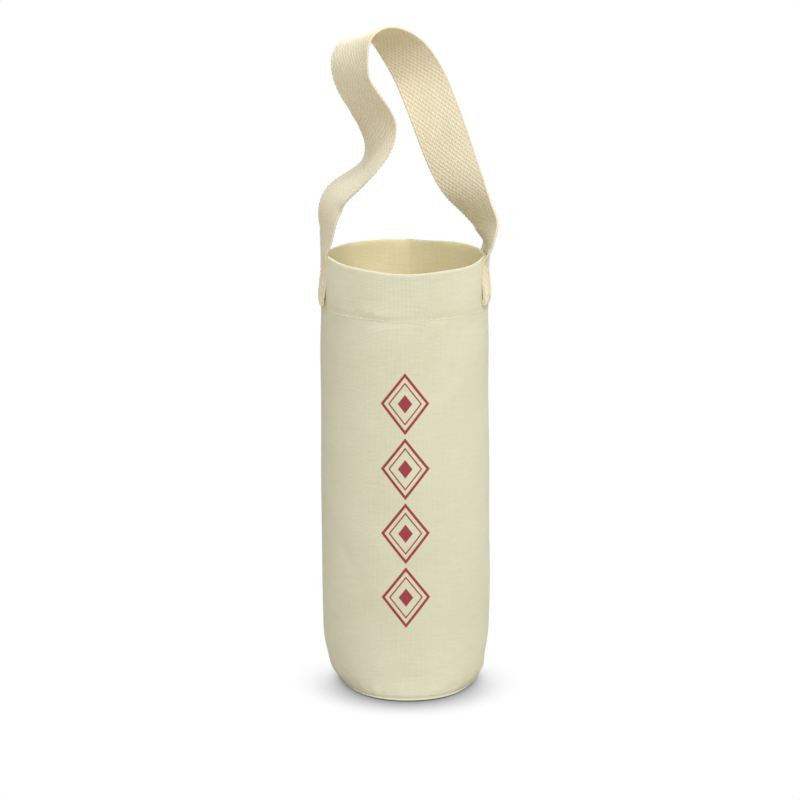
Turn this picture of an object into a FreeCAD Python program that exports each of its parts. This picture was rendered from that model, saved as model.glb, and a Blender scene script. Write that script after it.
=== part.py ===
import FreeCAD, Part
import math
import os

# Cotton canvas bottle carrier with a webbing handle.
# Millimetres and degrees. +Z is up, the origin is the middle of the base on the ground,
# the sewn ends of the handle are at -X and +X, and the front is at -Y.

# Driving dimensions, written once and kept in the spreadsheet
SIZES = {
    "base_diameter": 90.0,
    "bag_height": 275.0,
    "cloth_thickness": 0.8,
    # Outline of the tube of cloth, from the foot to the rim
    "foot_height": 7.0,
    "foot_width": 96.0,
    "foot_depth": 86.0,
    "belly_height": 40.0,
    "belly_width": 103.6,
    "belly_depth": 77.0,
    "chest_height": 150.0,
    "chest_width": 103.6,
    "chest_depth": 77.0,
    "shoulder_drop": 40.0,
    "shoulder_width": 101.0,
    "shoulder_depth": 77.0,
    "rim_width": 97.0,
    "rim_depth": 80.0,
    # Turned hem, back seam and base seam
    "hem_depth": 31.0,
    "hem_stitch_edge": 1.5,
    "back_seam_width": 11.0,
    "back_seam_offset": -0.5,
    "base_allowance": 8.0,
    "seam_clearance": 0.1,
    "overlock_width": 1.2,
    "overlock_height": 0.8,
    # Sewing thread, seen as a flat bead on the cloth
    "thread_width": 0.6,
    "thread_height": 0.4,
    "thread_clearance": 0.02,
    # Webbing and its sewn ends
    "strap_width": 30.0,
    "strap_thickness": 2.0,
    "fold_slit": 0.2,
    "sewn_height": 26.0,
    "raw_end_drop": 3.0,
    "box_stitch_edge": 5.0,
    # The loop above the sewn ends
    "handle_rise": 140.5,
    "hinge_height": 25.0,
    "swing_clearance": 0.5,
}

doc = FreeCAD.newDocument("bottle_carrier")
sheet = doc.addObject("Spreadsheet::Sheet", "Sizes")
for row, (alias, value) in enumerate(SIZES.items(), start=1):
    sheet.set(f"A{row}", alias)
    sheet.set(f"B{row}", str(value))
    sheet.setAlias(f"B{row}", alias)
doc.recompute()


def size(alias):
    """The sheet's value of one driving dimension."""
    return float(getattr(sheet, alias))


def feature(label, shape):
    """A sub-part whose shape is worked out from the sheet."""
    node = doc.addObject("Part::Feature", label)
    node.Label = label
    node.Shape = shape
    node.Placement = FreeCAD.Placement()
    return node


def bound_box(name, expressions):
    """A Part box with its sizes and its corner bound to the sheet."""
    box = doc.addObject("Part::Box", name)
    for prop, expression in expressions.items():
        box.setExpression(prop, expression)
    return box


# The tube of cloth
CORNER_Y = size("strap_width") / 2
REACH = 4 * size("bag_height")
FLAT_WITHIN = 1e-6


def level(height, width, depth, flat_side=False):
    """One cross-section: height, half width, half width at the side's corners and half depth."""
    half_width = width / 2
    half_depth = depth / 2
    if flat_side:
        corner = half_width
    else:
        corner = half_width * math.sqrt(1 - (CORNER_Y / half_depth) ** 2)
    return height, half_width, corner, half_depth


def tube_levels():
    """The cross-sections from the round base up to the rim, flat where the webbing is sewn on."""
    top = size("bag_height")
    return [
        level(0, size("base_diameter"), size("base_diameter")),
        level(size("foot_height"), size("foot_width"), size("foot_depth")),
        level(size("belly_height"), size("belly_width"), size("belly_depth")),
        level(size("chest_height"), size("chest_width"), size("chest_depth")),
        level(top - size("shoulder_drop"), size("shoulder_width"), size("shoulder_depth")),
        level(top - size("hem_depth"), size("rim_width"), size("shoulder_depth"), flat_side=True),
        level(top, size("rim_width"), size("rim_depth"), flat_side=True),
    ]


def section_wire(cross_section, inset):
    """Two side edges and two long arcs, drawn in from the outside of the cloth by the inset."""
    height, half_width, corner, half_depth = cross_section
    lean = math.atan2(half_depth - CORNER_Y, corner)
    corner_x = corner - inset
    corner_y = CORNER_Y - inset * math.sin(lean)
    half_width -= inset
    half_depth -= inset
    front_right = FreeCAD.Vector(corner_x, -corner_y, height)
    back_right = FreeCAD.Vector(corner_x, corner_y, height)
    back_left = FreeCAD.Vector(-corner_x, corner_y, height)
    front_left = FreeCAD.Vector(-corner_x, -corner_y, height)

    def edge(start, middle_x, middle_y, end):
        middle = FreeCAD.Vector(middle_x, middle_y, height)
        if middle.distanceToLine(start, end - start) < FLAT_WITHIN:
            return Part.makeLine(start, end)
        return Part.Arc(start, middle, end).toShape()

    return Part.Wire([
        edge(front_right, half_width, 0, back_right),
        edge(back_right, 0, half_depth, back_left),
        edge(back_left, -half_width, 0, front_left),
        edge(front_left, 0, -half_depth, front_right),
    ])


def tube(inset):
    """The solid inside the surface that lies this far in from the outside of the cloth."""
    wires = [section_wire(cross_section, inset) for cross_section in tube_levels()]
    return Part.makeLoft(wires, True, True)


def block(x_low, x_high, y_low, y_high, z_low, z_high):
    return Part.makeBox(x_high - x_low, y_high - y_low, z_high - z_low,
                        FreeCAD.Vector(x_low, y_low, z_low))


def slab(z_low, z_high):
    return block(-REACH, REACH, -REACH, REACH, z_low, z_high)


def back_strip(x_low, x_high, z_low, z_high):
    return block(x_low, x_high, 0, REACH, z_low, z_high)


def layer(outer_inset, inner_inset, where):
    """The part of a layer between two insets that lies in one block."""
    return tube(outer_inset).cut(tube(inner_inset)).common(where)


CLOTH = size("cloth_thickness")
HEM_BOTTOM = size("bag_height") - size("hem_depth")
SEAM_LEFT = size("back_seam_offset") - size("back_seam_width") / 2
SEAM_RIGHT = size("back_seam_offset") + size("back_seam_width") / 2
PAN_OUTSIDE = CLOTH + size("seam_clearance")
PAN_INSIDE = PAN_OUTSIDE + CLOTH
OVERLOCK_TOP = size("base_allowance") + size("thread_clearance") + size("overlock_height")
SEAM_BOTTOM = OVERLOCK_TOP + size("seam_clearance")


def body_panel():
    """One panel of canvas as a tube, two layers thick at the turned hem and along the back seam."""
    one_layer = tube(CLOTH)
    two_layers = tube(2 * CLOTH)
    hem = slab(HEM_BOTTOM, REACH)
    seam = back_strip(SEAM_LEFT, SEAM_RIGHT, SEAM_BOTTOM, REACH)
    hollow = one_layer.cut(hem).cut(seam).fuse(two_layers)
    return tube(0).cut(hollow)


def base_disc():
    """Round base whose edge is turned up inside the foot of the tube."""
    pan = tube(PAN_OUTSIDE).common(slab(0, size("base_allowance")))
    return pan.cut(tube(PAN_INSIDE).common(slab(CLOTH, REACH)))


# Sewing thread on the cloth
BEAD_OUTSIDE = size("thread_clearance") + size("thread_height")


def bead_rows(middle):
    return middle - size("thread_width") / 2, middle + size("thread_width") / 2


def hem_stitching():
    low, high = bead_rows(HEM_BOTTOM + size("hem_stitch_edge"))
    return layer(-BEAD_OUTSIDE, -size("thread_clearance"), slab(low, high))


def base_seam_stitching():
    low, high = bead_rows(size("base_allowance") / 2)
    return layer(PAN_INSIDE + size("thread_clearance"), PAN_INSIDE + BEAD_OUTSIDE, slab(low, high))


def base_seam_overlock():
    low = size("base_allowance") + size("thread_clearance")
    return layer(PAN_OUTSIDE, PAN_OUTSIDE + size("overlock_width"), slab(low, OVERLOCK_TOP))


def back_seam_stitching():
    low, high = bead_rows(SEAM_RIGHT - size("overlock_width"))
    strip = back_strip(low, high, SEAM_BOTTOM, HEM_BOTTOM)
    inside = 2 * CLOTH
    return layer(inside + size("thread_clearance"), inside + BEAD_OUTSIDE, strip)


def back_seam_overlock():
    strip = back_strip(SEAM_LEFT, SEAM_LEFT + size("overlock_width"), SEAM_BOTTOM, HEM_BOTTOM)
    inside = 2 * CLOTH + size("thread_clearance")
    return layer(inside, inside + size("overlock_height"), strip)


# Sewn ends of the webbing, each folded up under itself
INNER_FACE = "Sizes.rim_width / 2"
OUTER_FACE = "(Sizes.rim_width / 2 + 2 * Sizes.strap_thickness + Sizes.fold_slit)"
FOLD_RADIUS = "(Sizes.strap_thickness + Sizes.fold_slit / 2)"
FOLD_LEVEL = f"(Sizes.bag_height - Sizes.sewn_height + {FOLD_RADIUS})"
END_TOP = "(Sizes.bag_height + Sizes.hinge_height - Sizes.strap_width / 2 - Sizes.swing_clearance)"


def webbing_end(side, sign):
    """Outer layer, turned-under layer and the round fold between them."""
    label = f"{side}_webbing_end"

    def layer_box(name, inner_x, top):
        corner = inner_x if sign > 0 else f"-({inner_x}) - Sizes.strap_thickness"
        return bound_box(f"{label}_{name}", {
            "Length": "Sizes.strap_thickness",
            "Width": "Sizes.strap_width",
            "Height": f"{top} - {FOLD_LEVEL}",
            "Placement.Base.x": corner,
            "Placement.Base.y": "-Sizes.strap_width / 2",
            "Placement.Base.z": FOLD_LEVEL,
        })

    under = layer_box("under", INNER_FACE, "(Sizes.bag_height - Sizes.raw_end_drop)")
    outer = layer_box("outer", f"{OUTER_FACE} - Sizes.strap_thickness", END_TOP)
    fold = doc.addObject("Part::Cylinder", f"{label}_fold")
    fold.Placement.Rotation = FreeCAD.Rotation(FreeCAD.Vector(1, 0, 0), -90)
    fold.setExpression("Radius", FOLD_RADIUS)
    fold.setExpression("Height", "Sizes.strap_width")
    fold.setExpression("Placement.Base.x", f"{sign} * ({INNER_FACE} + {FOLD_RADIUS})")
    fold.setExpression("Placement.Base.y", "-Sizes.strap_width / 2")
    fold.setExpression("Placement.Base.z", FOLD_LEVEL)
    end = doc.addObject("Part::MultiFuse", label)
    end.Label = label
    end.Shapes = [under, outer, fold]
    return end


def box_stitching(side, sign):
    """A sewn box with a cross in it on the outside of one webbing end."""
    label = f"{side}_box_stitching"
    width = size("strap_width") - 2 * size("box_stitch_edge")
    height = size("sewn_height") - 2 * size("box_stitch_edge")
    bead = size("thread_width")
    raised = size("thread_height")
    face = size("rim_width") / 2 + 2 * size("strap_thickness") + size("fold_slit")
    middle_x = sign * (face + size("thread_clearance") + raised / 2)
    middle = FreeCAD.Vector(middle_x, 0, size("bag_height") - size("sewn_height") / 2)

    def bead_line(length, y, z, angle):
        line = Part.makeBox(raised, length, bead, FreeCAD.Vector(-raised / 2, -length / 2, -bead / 2))
        turn = FreeCAD.Rotation(FreeCAD.Vector(1, 0, 0), angle)
        line.Placement = FreeCAD.Placement(middle + FreeCAD.Vector(0, y, z), turn)
        return line

    slope = math.degrees(math.atan2(height, width))
    diagonal = math.hypot(width, height)
    lines = [bead_line(width + bead, 0, z, 0) for z in (-height / 2, height / 2)]
    lines += [bead_line(height + bead, y, 0, 90) for y in (-width / 2, width / 2)]
    lines += [bead_line(diagonal, 0, 0, angle) for angle in (-slope, slope)]
    return feature(label, lines[0].fuse(lines[1:]).removeSplitter())


# The webbing loop, from its left root over the top to its right root: points of the webbing's
# middle line (x to the right, y back, z above the rim), four to a row, and at each of them the turn
# of the webbing's width from facing sideways, in degrees about +Z
ROUTE = [
    (-51.7, 0, 10), (-48.5, -2, 17), (-47, -3, 26), (-43, -2, 37),
    (-34.5, -3.5, 46), (-23.5, -7, 57.5), (-18, -7.5, 69), (-17, -9, 80),
    (-18.5, -12, 90.5), (-24.5, -15, 102), (-31, -14.5, 113), (-32.5, -14, 125),
    (-27, -10.5, 136), (-15, 1, 140.5), (-2, 11, 128.5), (7.5, 14.5, 113),
    (15, 13.5, 96), (21, 12, 80), (26, 11.5, 66), (32, 10, 51),
    (39, 8, 38), (45.5, 6.5, 28.5), (50, 3.5, 19.5), (51.7, 0, 10),
]
TURN_DEGREES = [
    6, 14, 20, 24,
    19, 14, 25, 42,
    54, 54, 48, 45,
    46, 53, 72, 80,
    80, 79, 77, 68,
    57, 43, 28, 14,
]
STEPS_PER_SPAN = 2


def between(before, start, end, after, part):
    """A smooth curve from start to end that leaves and arrives in line with its neighbours."""
    start_slope = (end - before) * 0.5
    end_slope = (after - start) * 0.5
    square = (end - start) * 3 - start_slope * 2 - end_slope
    cubic = start_slope + end_slope - (end - start) * 2
    return start + start_slope * part + square * part ** 2 + cubic * part ** 3


def webbing_stations():
    """The route fitted between the sewn ends and to the rise, with smooth steps between its points."""
    rim = size("bag_height")
    end_x = size("rim_width") / 2 + 1.5 * size("strap_thickness") + size("fold_slit")
    wide = end_x / max(x for x, y, z in ROUTE)
    tall = size("handle_rise") / max(z for x, y, z in ROUTE)
    points = [FreeCAD.Vector(x * wide, y * tall, rim + z * tall) for x, y, z in ROUTE]
    last = len(points) - 1
    for root in (points[0], points[last]):
        root.z = rim + size("hinge_height") - size("strap_width") / 2
    stations = []
    for span in range(last):
        around = [max(span - 1, 0), span, span + 1, min(span + 2, last)]
        for step in range(STEPS_PER_SPAN):
            part = step / STEPS_PER_SPAN
            point = between(*[points[index] for index in around], part)
            turn = between(*[TURN_DEGREES[index] for index in around], part)
            stations.append((point, turn))
    stations.append((points[last], TURN_DEGREES[last]))
    return stations


def webbing_wire(point, along, turn):
    """The webbing's oblong cross-section, square to its run."""
    facing = math.radians(turn)
    across = FreeCAD.Vector(math.sin(facing), -math.cos(facing), 0)
    across = (across - along * across.dot(along)).normalize()
    half_across = across * (size("strap_width") / 2)
    half_through = along.cross(across) * (size("strap_thickness") / 2)
    corners = [
        point + half_across + half_through,
        point - half_across + half_through,
        point - half_across - half_through,
        point + half_across - half_through,
    ]
    return Part.makePolygon(corners + corners[:1])


def webbing_handle():
    """The loop, with its lower ends rounded about the swing axis so that they clear the sewn ends."""
    stations = webbing_stations()
    last = len(stations) - 1
    wires = []
    for index, (point, turn) in enumerate(stations):
        run = stations[min(index + 1, last)][0] - stations[max(index - 1, 0)][0]
        wires.append(webbing_wire(point, run.normalize(), turn))
    loop = Part.makeLoft(wires, True, True)
    axis_height = size("bag_height") + size("hinge_height")
    axis_start = FreeCAD.Vector(-REACH, 0, axis_height)
    round_end = Part.makeCylinder(size("strap_width") / 2, 2 * REACH, axis_start, FreeCAD.Vector(1, 0, 0))
    outside_round = slab(size("bag_height"), axis_height).cut(round_end)
    return loop.cut(outside_round)


# All sub-parts, each named as its file is
nodes = [
    feature("body_panel", body_panel()),
    feature("base_disc", base_disc()),
    feature("hem_stitching", hem_stitching()),
    feature("base_seam_stitching", base_seam_stitching()),
    feature("base_seam_overlock", base_seam_overlock()),
    feature("back_seam_stitching", back_seam_stitching()),
    feature("back_seam_overlock", back_seam_overlock()),
    feature("webbing_handle", webbing_handle()),
]
for side, sign in (("left", -1), ("right", 1)):
    nodes.append(webbing_end(side, sign))
    nodes.append(box_stitching(side, sign))
doc.recompute()

for item in doc.Objects:
    if "Invalid" in item.State or "Error" in item.State:
        raise RuntimeError(f"{item.Label} failed to recompute")
for node in nodes:
    if node.Shape.isNull() or not node.Shape.isValid():
        raise RuntimeError(f"{node.Label} has no valid shape")

os.makedirs("parts", exist_ok=True)
for node in nodes:
    node.Shape.exportStep(f"parts/{node.Label}.step")
    box = node.Shape.BoundBox
    print(f"{node.Label}: {len(node.Shape.Solids)} solid, {node.Shape.Volume:.0f} mm3,"
          f" z {box.ZMin:.1f} to {box.ZMax:.1f}")
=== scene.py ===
"""Looks of the canvas bottle carrier: sewn canvas, woven webbing, threads, light and camera."""
import math

import bpy
import numpy as np
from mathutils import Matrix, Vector


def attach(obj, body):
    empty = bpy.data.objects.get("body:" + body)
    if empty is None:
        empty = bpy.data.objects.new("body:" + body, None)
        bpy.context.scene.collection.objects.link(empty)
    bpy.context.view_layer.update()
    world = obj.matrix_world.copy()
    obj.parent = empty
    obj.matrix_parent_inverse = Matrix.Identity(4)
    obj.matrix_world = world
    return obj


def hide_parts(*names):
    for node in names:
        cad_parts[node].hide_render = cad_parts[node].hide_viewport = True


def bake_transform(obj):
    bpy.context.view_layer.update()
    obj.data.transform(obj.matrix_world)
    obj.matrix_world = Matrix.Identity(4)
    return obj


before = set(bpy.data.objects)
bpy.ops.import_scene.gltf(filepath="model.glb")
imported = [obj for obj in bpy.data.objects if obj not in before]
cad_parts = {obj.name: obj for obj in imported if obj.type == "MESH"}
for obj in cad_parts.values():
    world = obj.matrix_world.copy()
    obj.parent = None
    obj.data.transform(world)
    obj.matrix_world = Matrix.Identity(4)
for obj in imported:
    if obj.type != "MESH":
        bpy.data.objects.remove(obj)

for spare in ("Cube", "Light", "Camera"):
    if spare in bpy.data.objects:
        bpy.data.objects.remove(bpy.data.objects[spare], do_unlink=True)
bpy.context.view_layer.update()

# All shapes are worked out in millimetres and scaled to metres when a mesh is made.
MM = 0.001
# Heights of the rim and of the row of stitches that holds the hem
RIM = 275.0
HEM_ROW = 245.5
# Thickness of one layer of cloth, and of two with the air between them
CLOTH = 0.8
TWO_LAYERS = 1.75
# How far in from the outside the thread lies that holds two layers, and the overlock's thread over it
STITCH_INSET = 1.72
OVERLOCK_INSET = 1.95


def smoothstep(low, high, value):
    """0 below low, 1 above high and a soft step between them."""
    share = np.clip((value - low) / (high - low), 0.0, 1.0)
    return share * share * (3.0 - 2.0 * share)


def bell(value, spread):
    return np.exp(-(value / spread) ** 2)


def run_lengths(points):
    """Length along a line of points, up to each of them."""
    steps = np.linalg.norm(np.diff(points, axis=0), axis=1)
    return np.concatenate([[0.0], np.cumsum(steps)])


def spline(knots, values, at):
    """A natural cubic spline through the values, read at the given places."""
    knots = np.asarray(knots, float)
    values = np.asarray(values, float)
    count = len(knots)
    gaps = np.diff(knots)
    slopes = np.diff(values, axis=0) / gaps.reshape(-1, *[1] * (values.ndim - 1))
    matrix = np.eye(count)
    right = np.zeros_like(values)
    for row in range(1, count - 1):
        matrix[row, row - 1] = gaps[row - 1]
        matrix[row, row] = 2.0 * (gaps[row - 1] + gaps[row])
        matrix[row, row + 1] = gaps[row]
        right[row] = 6.0 * (slopes[row] - slopes[row - 1])
    bends = np.linalg.solve(matrix, right)
    at = np.asarray(at, float)
    span = np.clip(np.searchsorted(knots, at) - 1, 0, count - 2)
    shape = at.shape + (1,) * (values.ndim - 1)
    gap = gaps[span].reshape(shape)
    before = (at - knots[span]).reshape(shape)
    after = gap - before
    ends = bends[span] * after ** 3 / (6 * gap) + bends[span + 1] * before ** 3 / (6 * gap)
    starts = (values[span] / gap - bends[span] * gap / 6) * after
    return ends + starts + (values[span + 1] / gap - bends[span + 1] * gap / 6) * before


# Materials

def add(tree, kind, inputs=None, **settings):
    """A node with its settings, and its inputs set to values or linked to sockets."""
    node = tree.nodes.new(kind)
    for name, value in settings.items():
        setattr(node, name, value)
    for key, value in (inputs or {}).items():
        if isinstance(value, bpy.types.NodeSocket):
            tree.links.new(value, node.inputs[key])
        else:
            node.inputs[key].default_value = value
    return node


def calc(tree, operation, first, second=0.0, third=0.0):
    return add(tree, "ShaderNodeMath", {0: first, 1: second, 2: third}, operation=operation).outputs[0]


def blend_colours(tree, share, first, second):
    node = add(tree, "ShaderNodeMix", data_type="RGBA")
    for socket, value in ((node.inputs[0], share), (node.inputs[6], first), (node.inputs[7], second)):
        if isinstance(value, bpy.types.NodeSocket):
            tree.links.new(value, socket)
        else:
            socket.default_value = value
    return node.outputs[2]


def remap(tree, value, low, high, to_low=0.0, to_high=1.0):
    inputs = {0: value, 1: low, 2: high, 3: to_low, 4: to_high}
    return add(tree, "ShaderNodeMapRange", inputs, clamp=True).outputs[0]


def grain(tree, first, second, scale_first, scale_second, detail=2.0, seed=0.0):
    """Noise over two cloth coordinates, stretched by the two scales."""
    place = add(tree, "ShaderNodeCombineXYZ", {
        0: calc(tree, "MULTIPLY", first, scale_first),
        1: calc(tree, "MULTIPLY", second, scale_second),
        2: seed,
    })
    noise = add(tree, "ShaderNodeTexNoise", {"Vector": place.outputs[0], "Scale": 1.0, "Detail": detail})
    return noise.outputs[0]


def tone(red, green, blue):
    """A colour written as it looks on screen, as the shader needs it."""
    def linear(level):
        share = level / 255.0
        return share / 12.92 if share <= 0.04045 else ((share + 0.055) / 1.055) ** 2.4
    return linear(red), linear(green), linear(blue), 1.0


def new_material(name):
    material = bpy.data.materials.new(name)
    material.use_nodes = True
    material.node_tree.nodes.clear()
    return material, material.node_tree


def cloth_shader(tree, colour, height, distance, strength, sheen=0.2):
    bump = add(tree, "ShaderNodeBump", {"Height": height, "Distance": distance, "Strength": strength})
    shader = add(tree, "ShaderNodeBsdfPrincipled", {
        "Base Color": colour,
        "Roughness": 0.93,
        "Specular IOR Level": 0.18,
        "Sheen Weight": sheen,
        "Sheen Roughness": 0.55,
        "Normal": bump.outputs[0],
    })
    add(tree, "ShaderNodeOutputMaterial", {"Surface": shader.outputs[0]})


def cloth_place(tree):
    place = add(tree, "ShaderNodeUVMap", uv_map="cloth")
    parts = add(tree, "ShaderNodeSeparateXYZ", {0: place.outputs[0]})
    return parts.outputs[0], parts.outputs[1]


# Spacing of the canvas yarns
YARN = 0.78


def canvas_weave(tree, across, up):
    """Height of a plain weave of slightly uneven yarns, from 0 in the gaps to 1."""
    drift_across = grain(tree, across, up, 0.16, 0.03, seed=3.0)
    drift_up = grain(tree, across, up, 0.03, 0.16, seed=8.0)
    across = calc(tree, "MULTIPLY_ADD", drift_across, 0.9, across)
    up = calc(tree, "MULTIPLY_ADD", drift_up, 0.9, up)
    warp_wave = calc(tree, "SINE", calc(tree, "MULTIPLY", across, math.pi / YARN))
    weft_wave = calc(tree, "SINE", calc(tree, "MULTIPLY", up, math.pi / YARN))
    warp = calc(tree, "ABSOLUTE", warp_wave)
    weft = calc(tree, "ABSOLUTE", weft_wave)
    warp_over = calc(tree, "GREATER_THAN", calc(tree, "MULTIPLY", warp_wave, weft_wave), 0.0)
    warp_high = calc(tree, "MULTIPLY", warp, calc(tree, "MULTIPLY_ADD", weft, 0.45, 0.55))
    weft_high = calc(tree, "MULTIPLY", weft, calc(tree, "MULTIPLY_ADD", warp, 0.45, 0.55))
    difference = calc(tree, "SUBTRACT", warp_high, weft_high)
    return calc(tree, "MULTIPLY_ADD", warp_over, difference, weft_high)


def lozenges(tree, across, up):
    """A plain column of printed lozenges on the front, 1 where there is ink."""
    step = 42.0
    low_edge = 46.0
    count = 4
    half_width = 15.0
    half_height = 20.0
    along = calc(tree, "DIVIDE", calc(tree, "SUBTRACT", up, low_edge), step)
    inside = calc(tree, "MULTIPLY", calc(tree, "SUBTRACT", calc(tree, "FRACT", along), 0.5), step)
    reach = calc(tree, "ADD",
                 calc(tree, "DIVIDE", calc(tree, "ABSOLUTE", across), half_width),
                 calc(tree, "DIVIDE", calc(tree, "ABSOLUTE", inside), half_height))
    outer = calc(tree, "COMPARE", reach, 0.93, 0.07)
    ring = calc(tree, "COMPARE", reach, 0.66, 0.035)
    middle = calc(tree, "LESS_THAN", reach, 0.30)
    ink = calc(tree, "MAXIMUM", calc(tree, "MAXIMUM", outer, ring), middle)
    column = calc(tree, "COMPARE", along, count / 2, count / 2)
    return calc(tree, "MULTIPLY", ink, column)


def make_canvas(name, pale, deep, printed=False):
    """Natural canvas between two tones, with slubs, specks and, on the front, a plain print."""
    material, tree = new_material(name)
    across, up = cloth_place(tree)
    weave = canvas_weave(tree, across, up)
    weft_slub = grain(tree, across, up, 0.075, 1.15, detail=3.0, seed=1.0)
    warp_slub = grain(tree, across, up, 1.15, 0.06, detail=3.0, seed=5.0)
    patches = grain(tree, across, up, 0.03, 0.03, detail=4.0, seed=2.0)
    specks = grain(tree, across, up, 0.9, 1.3, detail=1.0, seed=11.0)
    colour = blend_colours(tree, remap(tree, patches, 0.3, 0.7), deep, pale)
    # Slubs, painted shade in the gaps of the weave, and specks: pattern, where it starts and where it is
    # full, share, tone
    for pattern, start, full, share, shade in (
        (weft_slub, 0.50, 0.78, 0.28, tone(248, 245, 224)),
        (weft_slub, 0.46, 0.25, 0.26, tone(216, 207, 170)),
        (warp_slub, 0.50, 0.78, 0.16, tone(245, 241, 218)),
        (weave, 0.35, 0.0, 0.45, tone(204, 194, 154)),
        (specks, 0.80, 0.86, 0.35, tone(180, 158, 112)),
    ):
        colour = blend_colours(tree, remap(tree, pattern, start, full, 0.0, share), colour, shade)
    if printed:
        wander = grain(tree, across, up, 1.4, 1.4, seed=6.0)
        drawn = calc(tree, "MULTIPLY_ADD", calc(tree, "SUBTRACT", wander, 0.5), 0.35, across)
        cover = remap(tree, weave, 0.02, 0.4, 0.78, 0.97)
        ink = calc(tree, "MULTIPLY", lozenges(tree, drawn, up), cover)
        colour = blend_colours(tree, ink, colour, tone(160, 30, 56))
    relief = calc(tree, "MULTIPLY_ADD", weft_slub, 0.75, weave)
    relief = calc(tree, "MULTIPLY_ADD", warp_slub, 0.4, relief)
    cloth_shader(tree, colour, relief, distance=0.00022, strength=0.75)
    return material


def make_webbing():
    material, tree = new_material("cotton_webbing")
    across, along = cloth_place(tree)
    raised = add(tree, "ShaderNodeAttribute", attribute_name="raised").outputs["Fac"]
    slant = calc(tree, "MULTIPLY", across, 9.0)
    twist = calc(tree, "SINE", calc(tree, "MULTIPLY_ADD", along, 14.0, slant))
    fibres = grain(tree, across, along, 5.0, 1.6, detail=4.0, seed=4.0)
    yarns = grain(tree, across, along, 0.85, 0.05, detail=2.0, seed=7.0)
    colour = blend_colours(tree, remap(tree, yarns, 0.3, 0.7), tone(242, 235, 208), tone(249, 244, 222))
    # Painted shade: where the raised value is low, between the pips and along the corded edges, the webbing
    # takes a darker, warmer tone
    colour = blend_colours(tree, remap(tree, raised, 0.6, -0.9), colour, tone(190, 168, 118))
    colour = blend_colours(tree, remap(tree, fibres, 0.5, 0.75, 0.0, 0.4), colour, tone(247, 242, 220))
    relief = calc(tree, "MULTIPLY_ADD", twist, 0.12, calc(tree, "MULTIPLY", fibres, 0.8))
    cloth_shader(tree, colour, relief, distance=0.00018, strength=0.6, sheen=0.0)
    return material


def make_thread():
    material, tree = new_material("sewing_thread")
    across, along = cloth_place(tree)
    around = calc(tree, "MULTIPLY", across, 2 * math.pi)
    twist = calc(tree, "SINE", calc(tree, "MULTIPLY_ADD", along, 11.0, around))
    uneven = grain(tree, across, along, 1.0, 0.6, seed=9.0)
    # Paler on the crowns of the twist and darker in its grooves: painted highlight and painted shade
    colour = blend_colours(tree, remap(tree, twist, -1.0, 1.0), tone(228, 221, 188), tone(240, 235, 206))
    colour = blend_colours(tree, remap(tree, uneven, 0.45, 0.75, 0.0, 0.3), colour, tone(246, 242, 222))
    cloth_shader(tree, colour, twist, distance=0.00008, strength=0.6, sheen=0.3)
    return material


CANVAS = make_canvas("printed_canvas", tone(230, 230, 205), tone(224, 224, 197), printed=True)
# The inside is a warmer copy of the canvas: painted light, standing in for the warm light that passes
# through the cloth and bounces between its walls
INNER_CANVAS_PAINTED_LIGHT = make_canvas("inner_canvas_painted_light", tone(244, 235, 195), tone(239, 229, 186))
WEBBING = make_webbing()
THREAD = make_thread()


# Meshes

def make_piece(name, points, faces, places, kinds, materials):
    """A smooth mesh from points in millimetres, with its cloth coordinates for each face corner."""
    mesh = bpy.data.meshes.new(name)
    mesh.from_pydata((np.asarray(points) * MM).tolist(), [], faces)
    layer = mesh.uv_layers.new(name="cloth")
    flat = np.asarray([place for face in places for place in face], float)
    layer.data.foreach_set("uv", flat.ravel())
    mesh.polygons.foreach_set("use_smooth", [True] * len(mesh.polygons))
    for material in materials:
        mesh.materials.append(material)
    mesh.polygons.foreach_set("material_index", kinds)
    mesh.update()
    piece = bpy.data.objects.new(name, mesh)
    bpy.context.scene.collection.objects.link(piece)
    return piece


class Shape:
    """Points, faces and cloth coordinates gathered for one piece."""

    def __init__(self):
        self.points = []
        self.faces = []
        self.places = []
        self.kinds = []

    def face(self, corners, places, kind=0):
        self.faces.append(corners)
        self.places.append(places)
        self.kinds.append(kind)

    def grid(self, points, places, ends_meet=False, kinds=None):
        """Faces over closed rows of points, each with one more place than points; the last row may
        join the first, and then there is one more row of places too."""
        rows, columns = points.shape[:2]
        first = len(self.points)
        self.points.extend(points.reshape(-1, 3).tolist())
        for row in range(rows if ends_meet else rows - 1):
            here = first + row * columns
            above = first + (row + 1) % rows * columns
            for column in range(columns):
                after = (column + 1) % columns
                corners = (here + column, here + after, above + after, above + column)
                spots = (
                    places[row][column],
                    places[row][column + 1],
                    places[row + 1][column + 1],
                    places[row + 1][column],
                )
                self.face(corners, spots, kinds[row] if kinds else 0)

    def piece(self, name, *materials):
        return make_piece(name, self.points, self.faces, self.places, self.kinds, materials)


# The tube of cloth: outline by height (z, middle, half width, half depth)
LEVELS = [
    (0.0, 2.0, 44.3, 44.3),
    (3.0, 1.9, 46.0, 44.0),
    (7.0, 1.7, 48.0, 43.1),
    (15.0, 1.3, 49.4, 41.6),
    (25.0, 1.0, 51.2, 39.9),
    (40.0, 0.9, 52.2, 38.8),
    (65.0, 0.9, 52.6, 38.5),
    (110.0, 0.6, 52.4, 38.5),
    (150.0, 0.4, 52.3, 38.5),
    (200.0, 0.2, 51.9, 38.5),
    (232.0, 0.1, 51.7, 38.6),
    (246.0, 0.0, 51.7, 38.8),
    (256.0, 0.0, 53.0, 39.2),
    (275.0, 0.0, 53.4, 40.0),
]
# The cloth under the sewn webbing: its place at the middle of each side, and how far it bends in at the
# webbing's edges, half the webbing's width away
LEFT_FACE = 49.9
RIGHT_FACE = 50.4
LEFT_BEND = 1.1
RIGHT_BEND = 3.0
WIDTH = 30.0
# Points around the tube, from the middle of the back
AROUND = 192
TURNS = np.arange(AROUND) * 2 * math.pi / AROUND - math.pi

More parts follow.
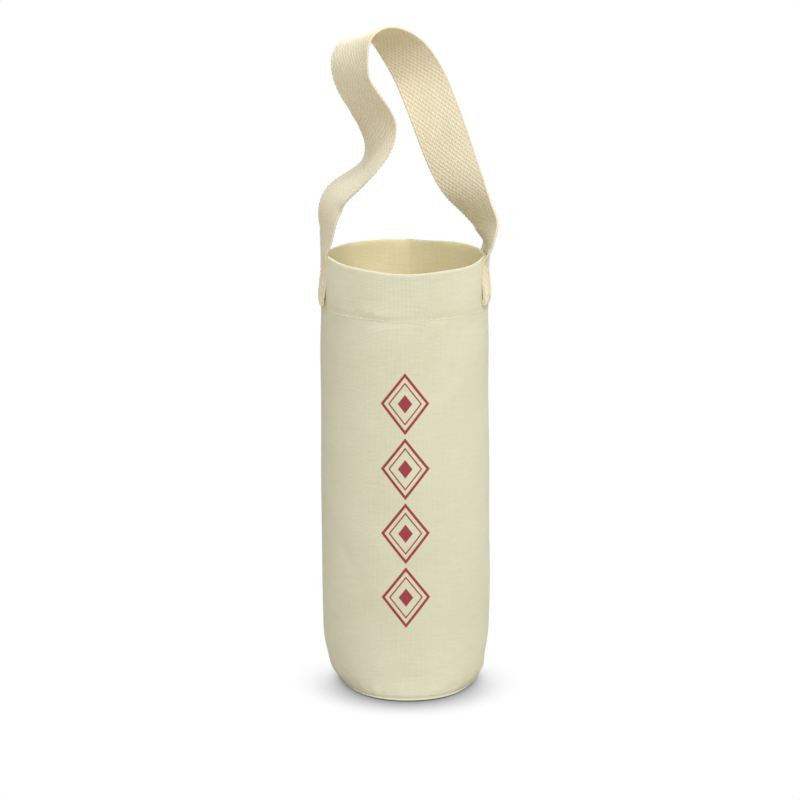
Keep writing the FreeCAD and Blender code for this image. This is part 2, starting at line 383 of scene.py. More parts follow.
# Soft dents in the cloth: place around and up, spreads along and across, lean in degrees, depth
DENTS = [
    (-12.0, 244.0, 13.0, 3.5, 4.0, 0.45),
    (-17.0, 249.5, 9.0, 2.5, -8.0, -0.35),
    (20.0, 246.0, 12.0, 3.0, -5.0, 0.30),
    (46.0, 240.0, 8.0, 6.0, 12.0, 0.55),
    (-45.0, 236.0, 8.0, 9.0, -20.0, 0.35),
    (54.0, 146.0, 7.0, 12.0, 0.0, 0.70),
    (-36.0, 88.0, 15.0, 4.0, -52.0, 0.55),
    (-30.0, 82.0, 14.0, 4.0, -52.0, -0.30),
    (-3.0, 14.0, 16.0, 6.0, 0.0, 0.55),
    (-54.0, 0.0, 18.0, 9.0, 0.0, 2.60),
    (52.0, 0.0, 14.0, 8.0, 0.0, 1.70),
    (129.0, 262.0, 8.0, 40.0, 0.0, 1.30),
    (107.0, 262.0, 10.0, 40.0, 0.0, -1.60),
    (-122.0, 265.0, 12.0, 40.0, 0.0, 0.60),
    (-126.0, 238.0, 14.0, 16.0, 0.0, 2.50),
    (128.0, 238.0, 9.0, 16.0, 0.0, -2.50),
    (104.0, 238.0, 10.0, 16.0, 0.0, 2.60),
    (-103.0, 238.0, 8.0, 16.0, 0.0, -1.50),
    (28.0, 196.0, 30.0, 16.0, 20.0, 0.35),
    (-26.0, 170.0, 22.0, 28.0, -15.0, 0.30),
    (100.0, 60.0, 26.0, 14.0, 30.0, 0.50),
    (-110.0, 150.0, 20.0, 30.0, 10.0, 0.50),
    (112.0, 205.0, 16.0, 22.0, -20.0, 0.45),
]
# Cloth coordinates around the tube are lengths along its outline at chest height
CHEST_HALF_WIDTH = 51.9
CHEST_HALF_DEPTH = 38.5
# Cloth coordinate of the seam allowance, clear of the tube's own
ALLOWANCE_PLACE = 600.0


def chest_lengths():
    """Length of cloth from the front's middle to each turn, at chest height."""
    fine = np.linspace(-math.pi, math.pi, 2881)
    outline = np.stack([CHEST_HALF_WIDTH * np.sin(fine), -CHEST_HALF_DEPTH * np.cos(fine)], axis=1)
    length = run_lengths(outline)
    return fine, length - length[-1] / 2


FINE_TURNS, FINE_LENGTHS = chest_lengths()
HALF_ROUND = FINE_LENGTHS[-1]
# The back seam's sewn line, beside the middle of the back
SEAM_X = 3.8


def length_at(turn):
    return np.interp(turn, FINE_TURNS, FINE_LENGTHS)


def turn_at(length):
    return np.interp(length, FINE_LENGTHS, FINE_TURNS)


def folds(length, up):
    """How far the cloth stands out from its plain outline, in millimetres."""
    out = np.zeros(np.broadcast(length, up).shape)
    for place, height, along, across, lean, depth in DENTS:
        angle = math.radians(lean)
        ahead = (length - place) * math.cos(angle) + (up - height) * math.sin(angle)
        aside = (up - height) * math.cos(angle) - (length - place) * math.sin(angle)
        out = out - depth * bell(ahead, along) * bell(aside, across)
    body = smoothstep(4.0, 40.0, up)
    slow = np.sin(length * 2 * math.pi * 3 / (2 * HALF_ROUND) + up / 31.0 + 0.7)
    slow = slow + 0.8 * np.sin(length * 2 * math.pi * 5 / (2 * HALF_ROUND) - up / 19.0 + 2.1)
    slow = slow + 0.5 * np.sin(length * 2 * math.pi * 8 / (2 * HALF_ROUND) + up / 13.0 + 4.0)
    out = out + 0.16 * body * slow
    # The sewn row of the hem draws the cloth in, with small puckers along it
    row = up - HEM_ROW - 0.35 * np.sin(length / 9.0) - 0.25 * np.sin(length / 4.3 + 1.0)
    pucker = 0.5 + 0.5 * np.sin(length * 2 * math.pi / 7.1 + 1.5 * np.sin(length / 11.0))
    out = out - (0.02 + 0.08 * pucker) * bell(row, 2.2)
    out = out + (0.01 + 0.10 * pucker) * (bell(row - 4.0, 2.8) + bell(row + 4.2, 3.2))
    # The base seam gathers the foot of the tube a little
    gather = np.sin(length * 2 * math.pi / 9.4 + 2.0 * np.sin(length / 17.0))
    out = out + 0.16 * gather * bell(up - 5.0, 4.0)
    out = out - 0.35 * bell(up - 1.6, 0.8)
    return out


def rim_rise(x, y, length):
    """How far the rim stands above its plain height."""
    # The webbing draws the rim up in front of it
    drawn = 2.8 * bell(y + 11.0, 11.0) + np.where(x < 0, -0.4, -0.2) * bell(y - 11.0, 11.0)
    drawn = drawn * smoothstep(30.0, 46.0, np.abs(x))
    # The rim dips in the middle of the front, stands higher at the back and waves a little
    front = np.where(x < 0, 2.2 * smoothstep(2.0, 27.0, -x), 0.8 * smoothstep(0.0, 24.0, x))
    front = front * smoothstep(2.0, -16.0, y)
    back = 1.15 * smoothstep(0.0, 14.0, y) * (1.0 - bell(x - 3.0, 11.0))
    wave = 0.25 * np.sin(length / 11.0 + 0.6) + 0.2 * np.sin(length / 5.7 + 2.0)
    return drawn + front + back + wave


def wall(turn, up):
    """A point of the outside of the cloth for a turn from the front and a height along the cloth."""
    heights = [row[0] for row in LEVELS]
    outline = spline(heights, [row[1:] for row in LEVELS], up)
    middle, half_width, half_depth = np.moveaxis(outline, -1, 0)
    length = length_at(turn)
    side = half_width * np.sin(turn)
    # Near the rim the mouth narrows to a lens, less so at the back on the right
    ahead = np.cos(turn)
    narrow = np.where(ahead > 0, 0.25, np.where(turn < 0, 0.2, 0.1)) * smoothstep(245.0, RIM, up)
    depth = -half_depth * np.sign(ahead) * np.abs(ahead) ** (1.0 + narrow)
    bulge = folds(length, up)
    # The back seam stands out as a soft ridge, sharp along its line
    from_seam = HALF_ROUND - np.abs(length) + np.where(length > 0, -SEAM_X, SEAM_X)
    ridge = 0.35 + 2.4 * smoothstep(120.0, 262.0, up)
    crease = np.exp(-np.abs(from_seam) / 11.0) - 0.65 * bell(from_seam, 40.0)
    bulge = bulge + ridge * crease * smoothstep(6.0, 30.0, up)
    size = np.hypot(np.sin(turn) / half_width, np.cos(turn) / half_depth)
    out_x = np.sin(turn) / half_width / size
    out_y = -np.cos(turn) / half_depth / size
    x = middle + side + out_x * bulge
    y = depth + out_y * bulge
    # The sewn webbing holds the cloth against its own gentle bend
    held = smoothstep(244.5, 250.5, up)
    bend = np.where(x > 0, RIGHT_BEND, LEFT_BEND)
    face = np.where(x > 0, RIGHT_FACE, LEFT_FACE) - bend * (2 * y / WIDTH) ** 2
    over = np.abs(x) - face
    soft = 0.5 * (over + np.sqrt(over * over + 0.5))
    x = x - np.sign(x) * soft * held
    rise = smoothstep(250.0, RIM, up) * rim_rise(x, y, length)
    return np.stack(np.broadcast_arrays(x, y, up + rise), axis=-1)


def wall_normal(turn, up):
    step = 0.004
    around = wall(turn + step, up) - wall(turn - step, up)
    upward = wall(turn, up + 0.4) - wall(turn, up - 0.4)
    normal = np.cross(around, upward)
    return normal / np.linalg.norm(normal, axis=-1, keepdims=True)


def cloth_point(turn, up, inset):
    return wall(turn, up) - wall_normal(turn, up) * np.asarray(inset)[..., None]


def between(low, high, step):
    count = max(1, int(round((high - low) / step)))
    return list(np.linspace(low, high, count, endpoint=False))


def body_rows():
    """Height and inset of each row of points, up the outside and down the inside."""
    outside = between(1.9, 8.0, 0.9) + between(8.0, 238.0, 2.3) + between(238.0, 252.0, 0.9)
    outside += between(252.0, 270.0, 2.0) + between(270.0, 274.2, 0.8)
    rows = [(0.9, 1.0), (0.85, 0.5), (1.2, 0.1)]
    rows += [(up, 0.0) for up in outside]
    rows += [(274.4, 0.05), (274.9, 0.35), (275.1, 0.85), (274.9, 1.35), (274.3, 1.7)]
    rows += [(up, TWO_LAYERS) for up in reversed(between(246.2, 274.0, 1.8))]
    rows += [(245.2, 1.7), (244.5, 1.6), (244.1, 1.25), (244.2, 0.9), (243.4, CLOTH)]
    rows += [(up, CLOTH) for up in reversed(between(9.5, 243.0, 3.2))]
    rows += [(up, CLOTH) for up in reversed(between(2.0, 9.0, 1.6))]
    rows += [(1.3, 0.95)]
    return np.asarray(rows)


def make_body():
    shape = Shape()
    rows = body_rows()
    up = rows[:, 0][:, None]
    inset = np.broadcast_to(rows[:, 1][:, None], (len(rows), AROUND))
    turn = np.broadcast_to(TURNS[None, :], inset.shape)
    # The doubled cloth inside the rim is pushed in where it passes over the back seam
    length = length_at(turn)
    seam_x = np.where(length > 0, HALF_ROUND - length, -HALF_ROUND - length)
    over_seam = smoothstep(-8.0, -3.0, -seam_x) * smoothstep(-10.0, -5.0, seam_x)
    lining = (rows[:, 1] > 1.2)[:, None] & (up > 244.0)
    inset = inset + np.where(lining, 0.45 * over_seam * smoothstep(276.0, 270.0, up), 0.0)
    points = cloth_point(turn, up, inset)
    along = run_lengths(points[:, AROUND // 2])
    edges = np.concatenate([length_at(TURNS), [HALF_ROUND]])
    places = [[(edge, place) for edge in edges] for place in along]
    places.append([(edge, along[-1] + 1.0) for edge in edges])
    kinds = [int(row > np.argmax(rows[:, 0])) for row in range(len(rows))]
    shape.grid(points, places, ends_meet=True, kinds=kinds)
    # Seam allowance, turned to one side and lying on the inside of the back
    heights = np.asarray(between(9.6, 243.6, 3.0) + [243.6])
    offsets = [-6.0, -5.9, -5.0, -2.5, 0.0, 2.5, 4.0, 4.9, 5.0]
    thick = [0.45, 0.8, 0.9, 0.9, 0.9, 0.9, 0.9, 0.8, 0.45]
    ring = [(x, 0.82) for x in offsets] + [(x, 0.85 + t) for x, t in zip(reversed(offsets), reversed(thick))]
    strip = []
    for x, depth in ring:
        edge = x + 0.35 * np.sin(heights / 13.0 + x) * (abs(x) > 4.0)
        place = HALF_ROUND - np.abs(edge)
        turns = np.where(edge > 0, turn_at(place), turn_at(-place))
        strip.append(cloth_point(turns, heights, np.full(len(heights), depth)))
    strip = np.stack(strip, axis=1)
    columns = ALLOWANCE_PLACE + np.arange(len(ring) + 1)
    strip_places = [[(column, height) for column in columns] for height in heights]
    shape.grid(strip, strip_places, kinds=[1] * len(heights))
    return shape.piece("canvas_body", CANVAS, INNER_CANVAS_PAINTED_LIGHT)


def make_base():
    """Round base with a rolled edge under the seam and its allowance turned up inside."""
    # Rings by share of the base's reach, and height
    underside = ((0.02, 0.5), (0.2, 0.48), (0.4, 0.42), (0.6, 0.32), (0.78, 0.18), (0.9, 0.06))
    upper_side = ((0.88, 1.25), (0.78, 1.3), (0.6, 1.45), (0.4, 1.6), (0.2, 1.7), (0.02, 1.72))
    # Rings by distance past that reach, and height
    rolled_edge = ((-1.6, 0.0), (-0.7, 0.02), (0.0, 0.2), (0.3, 0.6), (0.2, 1.0), (-0.25, 1.3), (-0.9, 1.4))
    inner_corner = ((-2.3, 1.75), (-3.2, 1.35))
    # Rings by height up the tube, and inset from its outside
    allowance = ((2.2, 0.9), (4.0, 0.9), (6.0, 0.9), (7.6, 0.92), (8.0, 1.25), (7.7, 1.65),
                 (6.0, 1.7), (4.0, 1.7), (2.6, 1.75))
    shape = Shape()
    middle = np.array([LEVELS[0][1], 0.0, 0.0])
    rim = cloth_point(TURNS, np.full(AROUND, 1.0), np.zeros(AROUND)) - middle
    rim[:, 2] = 0.0
    reach = np.hypot(rim[:, 0], rim[:, 1])
    facing = rim / reach[:, None]

    def ring(radius, height):
        return middle + facing * radius[:, None] + np.array([0.0, 0.0, height])

    def tube_ring(up, inset):
        return cloth_point(TURNS, np.full(AROUND, up), np.full(AROUND, inset))

    rows = [ring(reach * share, height) for share, height in underside]
    rows += [ring(reach + offset, height) for offset, height in rolled_edge]
    rows += [tube_ring(up, inset) for up, inset in allowance]
    rows += [ring(reach + offset, height) for offset, height in inner_corner]
    rows += [ring(reach * share, height) for share, height in upper_side]
    points = np.stack(rows)
    places = []
    for row in points:
        place = [(x, y) for x, y in row[:, :2]]
        places.append(place + place[:1])
    shape.grid(points, places)
    return shape.piece("canvas_base", CANVAS)


# The webbing: middle line (x, y, z), turn of its width and tilt of its width in degrees,
# from the raw end on the left, round the fold, over the loop and back down on the right
STATIONS = [
    (-50.7, 0.0, 258.0, 0, 0),
    (-50.9, 0.0, 254.5, 0, 0),
    (-51.0, 0.0, 251.0, 0, 0),
    (-51.1, 0.0, 249.3, 0, 0),
    (-51.7, 0.0, 248.4, 0, 0),
    (-52.3, 0.0, 249.3, 0, 0),
    (-52.4, 0.0, 251.0, 0, 0),
    (-52.2, 0.0, 254.0, 0, 0),
    (-51.9, 0.0, 257.5, 0, 0),
    (-51.3, 0.0, 261.5, 0, 0),
    (-50.8, 0.0, 265.5, 0, 0),
    (-50.7, 0.0, 270.0, 0, 0),
    (-50.6, -0.3, 275.0, 2, 0),
    (-50.2, -0.8, 280.0, 6, 0),
    (-49.5, -1.5, 284.5, 9, 0),
    (-48.6, -2.5, 289.5, 13, 0),
    (-47.0, -3.0, 301.0, 20, 0),
    (-43.0, -2.0, 312.0, 24, 0),
    (-34.5, -3.5, 321.0, 19, 1),
    (-23.5, -7.0, 332.5, 13, 1),
    (-18.0, -7.5, 344.0, 25, 1),
    (-17.0, -9.0, 355.0, 42, 0),
    (-18.5, -12.0, 365.5, 55, 0),
    (-24.5, -15.0, 377.0, 54, 0),
    (-31.0, -14.5, 388.0, 47, 1),
    (-33.0, -14.0, 400.5, 44, 2),
    (-29.0, -10.5, 412.0, 38, 15),
    (-15.0, 1.0, 415.5, 43, 20),
    (-2.0, 11.0, 403.5, 70, 10),
    (7.5, 14.5, 388.0, 77, 2),
    (15.0, 13.5, 371.0, 78, 1),
    (21.0, 12.0, 355.0, 79, 0),
    (26.0, 11.5, 341.0, 77, 0),
    (32.0, 10.0, 326.0, 68, 0),
    (39.0, 8.0, 313.0, 57, 0),
    (45.5, 6.5, 303.5, 43, 0),
    (50.0, 3.5, 295.5, 28, 0),
    (50.8, 1.5, 289.0, 18, 0),
    (51.1, 0.6, 283.5, 9, 0),
    (51.3, 0.2, 278.0, 3, 0),
    (51.3, 0.0, 273.0, 0, 0),
    (51.2, 0.0, 269.0, 0, 0),
    (51.3, 0.0, 265.5, 0, 0),
    (51.8, 0.0, 261.5, 0, 0),
    (52.4, 0.0, 258.0, 0, 0),
    (52.6, 0.0, 254.5, 0, 0),
    (52.5, 0.0, 251.0, 0, 0),
    (52.3, 0.0, 249.2, 0, 0),
    (51.8, 0.0, 248.2, 0, 0),
    (51.3, 0.0, 249.2, 0, 0),
    (51.2, 0.0, 251.0, 0, 0),
    (51.2, 0.0, 254.5, 0, 0),
    (51.1, 0.0, 258.0, 0, 0),
]
# Rows of the outer layer of a sewn end, counted from its own raw end
SEWN_FROM = 6
SEWN_TO = 13
# Columns of pips, the length of a pip and of one turn of the corded edges
COLUMNS = 22
PIP = 4.2
CORD_PITCH = 2.1
# From the middle line to the woven ground, and to the pips that the stitches press flatter
HALF_THICKNESS = 0.48
SEWN_FACE = 0.68
# How much further the outermost edges of the sewn ends bend in
TUCK = 0.15


def webbing_line():
    """Length, point, width direction and thickness direction along the webbing, every half millimetre."""
    spacing = 0.5
    stations = np.asarray(STATIONS, float)
    knots = run_lengths(stations[:, :3])
    fine = np.linspace(0.0, knots[-1], 6000)
    path = spline(knots, stations[:, :3], fine)
    lengths = run_lengths(path)
    steps = int(round(lengths[-1] / spacing))
    length = np.linspace(0.0, lengths[-1], steps + 1)
    at = np.interp(length, lengths, fine)
    points = spline(knots, stations[:, :3], at)
    turns = np.radians(spline(knots, stations[:, 3:], at))
    run = np.gradient(points, axis=0)
    run /= np.linalg.norm(run, axis=1, keepdims=True)
    across = np.stack([
        np.sin(turns[:, 0]) * np.cos(turns[:, 1]),
        -np.cos(turns[:, 0]) * np.cos(turns[:, 1]),
        np.sin(turns[:, 1]),
    ], axis=1)
    across -= run * np.sum(across * run, axis=1, keepdims=True)
    across /= np.linalg.norm(across, axis=1, keepdims=True)
    return length, points, across, np.cross(run, across)


def tab_bend(side, offset, height):
    """How far the webbing's sewn ends bend towards the bag, away from their middle."""
    bend = np.where(np.asarray(side) > 0, RIGHT_BEND, LEFT_BEND)
    share = 2 * offset / WIDTH
    # Near its fold the left end keeps a little straighter
    straight = np.where(np.asarray(side) > 0, 0.0, 0.15) * smoothstep(258.0, 249.0, height)
    curve = bend * (1.0 - straight) * share ** 2 + TUCK * share ** 6
    return curve * smoothstep(284.0, 273.0, height)


def close_raw_ends(shape, rows, count, on_face):
    """Faces over the two raw ends: each row has count points, on_face of them on either face."""
    for row in (0, rows - 1):
        first = row * count
        for step in range(on_face - 1):
            near = first + step
            far = first + 2 * on_face + 2 - step
            face_points = (near, near + 1, far - 1, far)
            shape.face(face_points if row == 0 else face_points[::-1], [(float(step), 0.0)] * 4)
        right_edge = tuple(first + on_face - 1 + step for step in range(5))
        left_edge = tuple(first + (2 * on_face + 2 + step) % count for step in range(5))
        for rim in (right_edge, left_edge):
            shape.face(rim if row == 0 else rim[::-1], [(0.0, 0.0)] * 5)


def make_webbing_strap():
    """Webbing with raised pips in columns, each half a pip along from its neighbour, and corded edges."""
    length, points, across, through = webbing_line()
    marks = np.arange(2 * COLUMNS + 1)
    column = marks // 2
    crown = marks % 2
    offset = (marks / (2 * COLUMNS) - 0.5) * WIDTH
    phase = 2 * math.pi * (length[:, None] / PIP + 0.5 * column[None, :])
    edge_drop = smoothstep(13.6, 15.0, np.abs(offset))[None, :]

    # The stitches press the sewn ends flatter
    loose = smoothstep(268.0, 278.0, points[:, 2])[:, None]

    def face(shift):
        pip = (0.5 + 0.5 * np.cos(phase + shift)) ** 0.7
        raised = np.where(crown[None, :] == 1, pip, 0.0)
        pips = (0.22 + 0.28 * loose) * raised * (1.0 - edge_drop)
        return raised, HALF_THICKNESS + pips + 0.12 * edge_drop

    # The folded ends lie narrower under the sewn ends, whose edges reach down to the cloth
    middle = len(length) // 2
    left_fold = length[np.argmin(points[:middle, 2])]
    right_fold = length[middle + np.argmin(points[middle:, 2])]
    past_fold = np.maximum(left_fold - length, length - right_fold)
    narrow = (1.0 - 0.32 * smoothstep(3.5, 7.0, past_fold))[:, None]
    tucked = np.where(points[:, 0] < 0, 1.5, 1.0) * smoothstep(284.0, 272.0, points[:, 2])
    tucked = tucked * smoothstep(1.5, 5.5, -past_fold)

    def bent(place, offsets):
        side = np.sign(points[:, 0])[:, None]
        inward = tab_bend(side, offsets, points[:, 2][:, None])
        inward = inward + tucked[:, None] * smoothstep(11.0, 14.6, np.abs(offsets))
        return place - (side * inward)[..., None] * np.array([1.0, 0.0, 0.0])

    def edge(side):
        """Three lines around one edge, like the strands of a cord."""
        lines = []
        for number, (out, height) in enumerate(((0.40, 0.72), (0.85, 0.0), (0.40, -0.72))):
            swell = 0.16 * np.cos(2 * math.pi * (length / CORD_PITCH + number / 3))
            reach = side * (WIDTH / 2 + out) * narrow
            spot = points + across * (reach + side * swell[:, None])
            spot = spot + through * (height * (1.0 + swell))[:, None]
            lines.append(bent(spot[:, None, :], reach)[:, 0])
        return np.stack(lines if side > 0 else lines[::-1], axis=1)

    outer_raised, outer_height = face(0.0)
    inner_raised, inner_height = face(math.pi)
    offsets = offset[None, :] * narrow
    base = bent(points[:, None, :] + across[:, None, :] * offsets[..., None], offsets)
    outer = base + through[:, None, :] * outer_height[..., None]
    inner = base - through[:, None, :] * inner_height[..., None]
    ring = np.concatenate([outer, edge(1.0), inner[:, ::-1], edge(-1.0)], axis=1)
    strand = [np.cos(2 * math.pi * (length / CORD_PITCH + part / 3)) for part in range(3)]
    strand = np.stack(strand, axis=1)
    # The corded edges get low values so that they take part of the painted shade, more of it on the sewn
    # ends
    strand = -0.12 + 0.17 * loose + 0.10 * strand
    raised = np.concatenate([outer_raised, strand, inner_raised[:, ::-1], strand[:, ::-1]], axis=1)
    # Cloth coordinates around the webbing: outer face, edge, inner face, edge
    edge_spots = np.array([0.5, 1.1, 1.7])
    spots = np.concatenate([offset, 15.0 + edge_spots, 32.2 - offset[::-1], 47.2 + edge_spots, [49.4]])
    places = [[(spot, mark) for spot in spots] for mark in length]
    shape = Shape()
    shape.grid(ring, places)
    close_raw_ends(shape, len(length), ring.shape[1], len(marks))
    strap = shape.piece("webbing_strap", WEBBING)
    # This attribute sets how much painted shade the webbing's colour takes at each point
    mark = strap.data.attributes.new("raised", "FLOAT", "POINT")
    mark.data.foreach_set("value", raised.ravel())
    return strap


# Threads

def tube(shape, path, radius, sides=6, start=0.0):
    """A round thread along a path of points."""
    path = np.asarray(path, float)
    run = np.gradient(path, axis=0)
    run /= np.linalg.norm(run, axis=1, keepdims=True)
    # A direction well away from the path's own
    guide = np.array([0.13, 0.29, 0.95]) if abs(run[:, 2]).mean() < 0.8 else np.array([0.95, 0.29, 0.13])
    first = np.cross(run, guide)
    first /= np.linalg.norm(first, axis=1, keepdims=True)
    second = np.cross(run, first)
    angles = np.arange(sides) * 2 * math.pi / sides
    radius = np.broadcast_to(radius, len(path))
    ring = first[:, None, :] * np.cos(angles)[None, :, None]
    ring = ring + second[:, None, :] * np.sin(angles)[None, :, None]
    points = path[:, None, :] + ring * radius[:, None, None]
    along = start + run_lengths(path)
    places = [[(side / sides, place) for side in range(sides + 1)] for place in along]
    shape.grid(points, places)


STITCH_RISE = np.array([-0.38, -0.10, -0.02, -0.02, -0.10, -0.38])
STITCH_PART = np.array([0.0, 0.14, 0.36, 0.64, 0.86, 1.0])
STITCH_SIZE = np.array([0.16, 0.25, 0.29, 0.29, 0.25, 0.16])
# Shares of the pitch: the gap before a stitch and the stitch itself
STITCH_GAP = 0.08
STITCH_COVER = 0.84
# Each stitch starts at its own place along the thread's twist
THREAD_SHIFT = 7.3


def stitch_row(shape, place_at, total, pitch):
    """Single stitches along a row; place_at gives the points and the way out of the cloth there."""
    count = int(total / pitch)
    pitch = total / count
    for number in range(count):
        along = (number + STITCH_GAP + STITCH_PART * STITCH_COVER) * pitch
        points, out = place_at(along)
        tube(shape, points + out * STITCH_RISE[:, None], STITCH_SIZE, start=number * THREAD_SHIFT)


def hem_stitches():
    shape = Shape()
    total = 2 * HALF_ROUND

    def outside(along):
        turn = turn_at(along - HALF_ROUND)
        up = HEM_ROW + 0.12 * np.sin(along / 8.0)
        return wall(turn, up), wall_normal(turn, up)

    def inside(along):
        points, out = outside(along)
        return points - out * STITCH_INSET, -out

    stitch_row(shape, outside, total, pitch=3.4)
    stitch_row(shape, inside, total, pitch=3.4)
    return shape.piece("hem_stitches", THREAD)


def box_stitches(side, sign):
    """A crossed box of stitches on the outer layer of one sewn end."""
    shape = Shape()
    wide = 10.0
    low = 254.0
    high = 270.0
    corners = [(-wide, low), (wide, low), (wide, high), (-wide, high)]
    lines = [(corners[index], corners[(index + 1) % 4]) for index in range(4)]
    lines += [(corners[0], corners[2]), (corners[1], corners[3])]
    heights = [row[2] for row in STATIONS]
    part = range(SEWN_FROM, SEWN_TO)
    if sign > 0:
        part = range(len(STATIONS) - SEWN_TO, len(STATIONS) - SEWN_FROM)
    order = sorted(part, key=lambda index: heights[index])
    levels = [heights[index] for index in order]
    faces = [abs(STATIONS[index][0]) + SEWN_FACE for index in order]
    for start, end in lines:
        start = np.asarray(start)
        end = np.asarray(end)
        length = np.linalg.norm(end - start)

        def place_at(along, start=start, end=end, length=length):
            spot = start + (end - start) * (along / length)[:, None]
            face = sign * (np.interp(spot[:, 1], levels, faces) - tab_bend(sign, spot[:, 0], spot[:, 1]))
            out = np.broadcast_to(np.array([sign, 0.0, 0.0]), (len(along), 3))
            return np.stack([face, spot[:, 0], spot[:, 1]], axis=1), out

        stitch_row(shape, place_at, length, pitch=2.9)
    return shape.piece(f"{side}_box_stitches", THREAD)


def back_place(x, up, inset):
    place = HALF_ROUND - np.abs(x)
    turn = np.where(x > 0, turn_at(place), turn_at(-place))
    return cloth_point(turn, up, inset), -wall_normal(turn, up)


def back_seam_stitches():
    shape = Shape()
    low = 9.4
    total = 234.0

    def place_at(along):
        up = low + along
        return back_place(np.full(len(along), SEAM_X), up, np.full(len(along), TWO_LAYERS))

    stitch_row(shape, place_at, total, pitch=3.0)
    return shape.piece("back_seam_stitches", THREAD)


# Thread of the overlock: its loops and its chain
LOOP_RADIUS = 0.2
CHAIN_RADIUS = 0.22


def back_seam_edging():
    """Overlock thread: loops over the raw edges of the back seam and a chain beside them."""
    shape = Shape()
    ups = np.arange(9.6, 243.4, 0.6)
    swing = 0.5 - 0.5 * np.cos(np.arange(len(ups)) * math.pi / 2)
    x = -6.15 + 3.4 * swing
    inset = OVERLOCK_INSET - 0.8 * smoothstep(0.45, 0.0, swing)
    points, _ = back_place(x, ups, inset)
    tube(shape, points, LOOP_RADIUS, sides=5)
    chain, _ = back_place(-2.9 + 0.25 * np.sin(ups * 4.0), ups, np.full(len(ups), OVERLOCK_INSET))
    tube(shape, chain, CHAIN_RADIUS, sides=5)
    return shape.piece("back_seam_edging", THREAD)


def base_seam_stitches():
    shape = Shape()
    total = 2 * HALF_ROUND

    def place_at(along):
        turn = turn_at(along - HALF_ROUND)
        up = np.full(len(along), 4.0)
        return cloth_point(turn, up, np.full(len(along), STITCH_INSET)), -wall_normal(turn, up)

    stitch_row(shape, place_at, total, pitch=3.2)
    return shape.piece("base_seam_stitches", THREAD)


def base_seam_edging():
    """The same thread around the raw edges of the base seam."""
    shape = Shape()
    steps = 560
    along = np.arange(0.0, 2 * HALF_ROUND + 0.01, 2 * HALF_ROUND / steps)
    swing = 0.5 - 0.5 * np.cos(np.arange(len(along)) * math.pi / 2)
    turn = turn_at(along - HALF_ROUND)
    up = 8.35 - 3.0 * swing
    inset = 1.3 + 0.62 * smoothstep(0.0, 0.5, swing)
    tube(shape, cloth_point(turn, up, inset), LOOP_RADIUS, sides=5)
    chain = cloth_point(turn, 5.2 + 0.25 * np.sin(along * 4.0), np.full(len(along), OVERLOCK_INSET))
    tube(shape, chain, CHAIN_RADIUS, sides=5)
    return shape.piece("base_seam_edging", THREAD)


# The dressed part

body = make_body()
base = make_base()
strap = make_webbing_strap()
threads = {
    "hem_stitching": hem_stitches(),
    "left_box_stitching": box_stitches("left", -1),
    "right_box_stitching": box_stitches("right", 1),
    "back_seam_stitching": back_seam_stitches(),
    "back_seam_overlock": back_seam_edging(),
    "base_seam_stitching": base_seam_stitches(),
    "base_seam_overlock": base_seam_edging(),
}
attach(body, "bag")
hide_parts("body_panel")
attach(base, "bag")
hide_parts("base_disc")
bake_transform(strap)
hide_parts("webbing_handle", "left_webbing_end", "right_webbing_end")
for node, piece in threads.items():
    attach(piece, "bag")
    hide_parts(node)


# Floor, light and camera

WHITE = (1.0, 1.0, 1.0, 1.0)
# What the floor and the sky send to the part, while the camera sees both as white
FLOOR_BOUNCE = (0.57, 0.51, 0.42, 1.0)
SKY_COLOUR = (1.0, 1.0, 1.03, 1.0)
SKY_LIGHT = 0.53
# Where the lamps point
LIT_PLACE = (0.0, 0.0, 0.25)


def seen_directly(tree):
    """1 for what the camera sees, straight or through gloss or glass, and 0 for what lights the part."""
    path = add(tree, "ShaderNodeLightPath")
    seen = calc(tree, "MAXIMUM", path.outputs["Is Camera Ray"], path.outputs["Is Glossy Ray"])
    return calc(tree, "MAXIMUM", seen, path.outputs["Is Transmission Ray"])


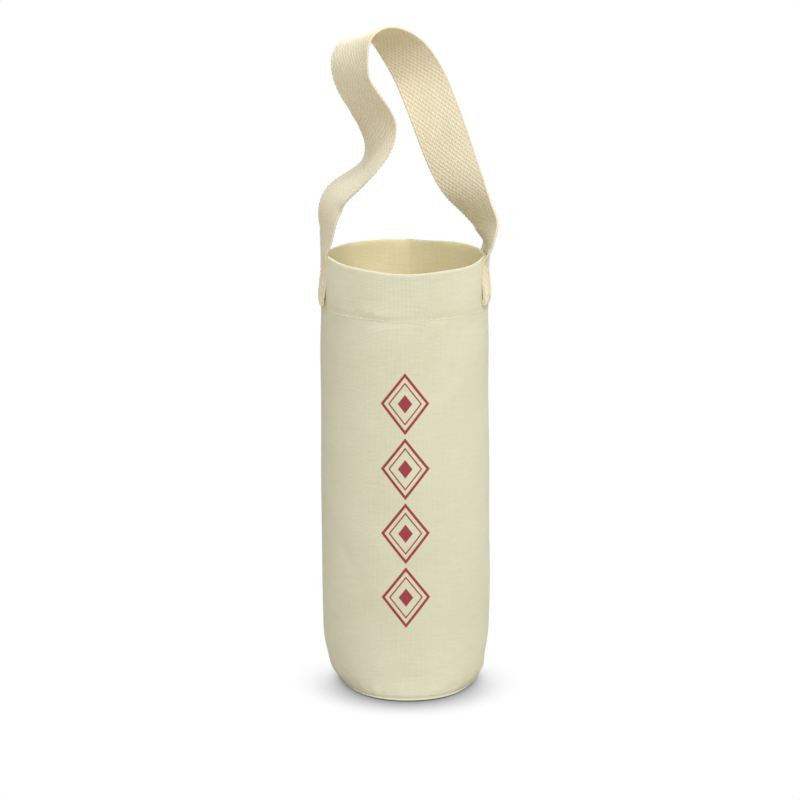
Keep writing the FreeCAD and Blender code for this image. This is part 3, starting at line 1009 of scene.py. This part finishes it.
def make_floor():
    size = 4.0
    low = -0.0002
    corners = [(-size, -size, low), (size, -size, low), (size, size, low), (-size, size, low)]
    mesh = bpy.data.meshes.new("floor")
    mesh.from_pydata(corners, [], [(0, 1, 2, 3)])
    material, tree = new_material("white_floor")
    seen = seen_directly(tree)
    # The soft shadow falls towards the front, as under a light from above and behind
    lean = add(tree, "ShaderNodeCombineXYZ", {0: 0.0, 1: 0.85, 2: 0.53}).outputs[0]
    shadow = add(tree, "ShaderNodeAmbientOcclusion", {"Distance": 0.03, "Normal": lean}, samples=16)
    shade = remap(tree, shadow.outputs["AO"], 0.29, 1.0, 0.99, 0.0)
    level = calc(tree, "SUBTRACT", 1.0, calc(tree, "MULTIPLY", shade, shade))
    matt = add(tree, "ShaderNodeBsdfDiffuse", {"Color": FLOOR_BOUNCE})
    white = add(tree, "ShaderNodeEmission", {"Color": WHITE, "Strength": level})
    look = add(tree, "ShaderNodeMixShader", {0: seen, 1: matt.outputs[0], 2: white.outputs[0]})
    add(tree, "ShaderNodeOutputMaterial", {"Surface": look.outputs[0]})
    mesh.materials.append(material)
    floor = bpy.data.objects.new("floor", mesh)
    bpy.context.scene.collection.objects.link(floor)


def make_world():
    world = bpy.data.worlds.new("studio")
    world.use_nodes = True
    tree = world.node_tree
    tree.nodes.clear()
    shown = seen_directly(tree)
    strength = calc(tree, "MULTIPLY_ADD", shown, 1.0 - SKY_LIGHT, SKY_LIGHT)
    colour = blend_colours(tree, shown, SKY_COLOUR, WHITE)
    sky = add(tree, "ShaderNodeBackground", {"Color": colour, "Strength": strength})
    add(tree, "ShaderNodeOutputWorld", {"Surface": sky.outputs[0]})
    bpy.context.scene.world = world


def make_light(name, place, size, watts):
    """A square white lamp that faces the middle of the part."""
    lamp = bpy.data.lights.new(name, "AREA")
    lamp.shape = "SQUARE"
    lamp.size = size
    lamp.energy = watts
    light = bpy.data.objects.new(name, lamp)
    light.location = place
    light.rotation_euler = (Vector(LIT_PLACE) - Vector(place)).to_track_quat("-Z", "Y").to_euler()
    bpy.context.scene.collection.objects.link(light)


def make_camera():
    data = bpy.data.cameras.new("camera")
    data.sensor_width = 36.0
    data.lens = 187.07
    data.clip_end = 20.0
    camera = bpy.data.objects.new("camera", data)
    camera.location = (-0.0028, -2.45, 0.978)
    camera.rotation_euler = (math.radians(72.02), 0.0, 0.0)
    bpy.context.scene.collection.objects.link(camera)
    bpy.context.scene.camera = camera


make_floor()
make_world()
make_light("front", (0.0, -1.5, 1.9), size=0.8, watts=15.5)
make_light("key", (0.5, -0.8, 2.1), size=0.3, watts=14.5)
make_light("right", (1.5, -1.3, 1.2), size=0.8, watts=7.5)
make_light("left", (-1.9, -0.3, 1.9), size=0.8, watts=2.6)
make_light("back", (0.3, 1.6, 1.6), size=0.8, watts=21.0)
make_camera()
bpy.context.scene.view_settings.view_transform = "Standard"
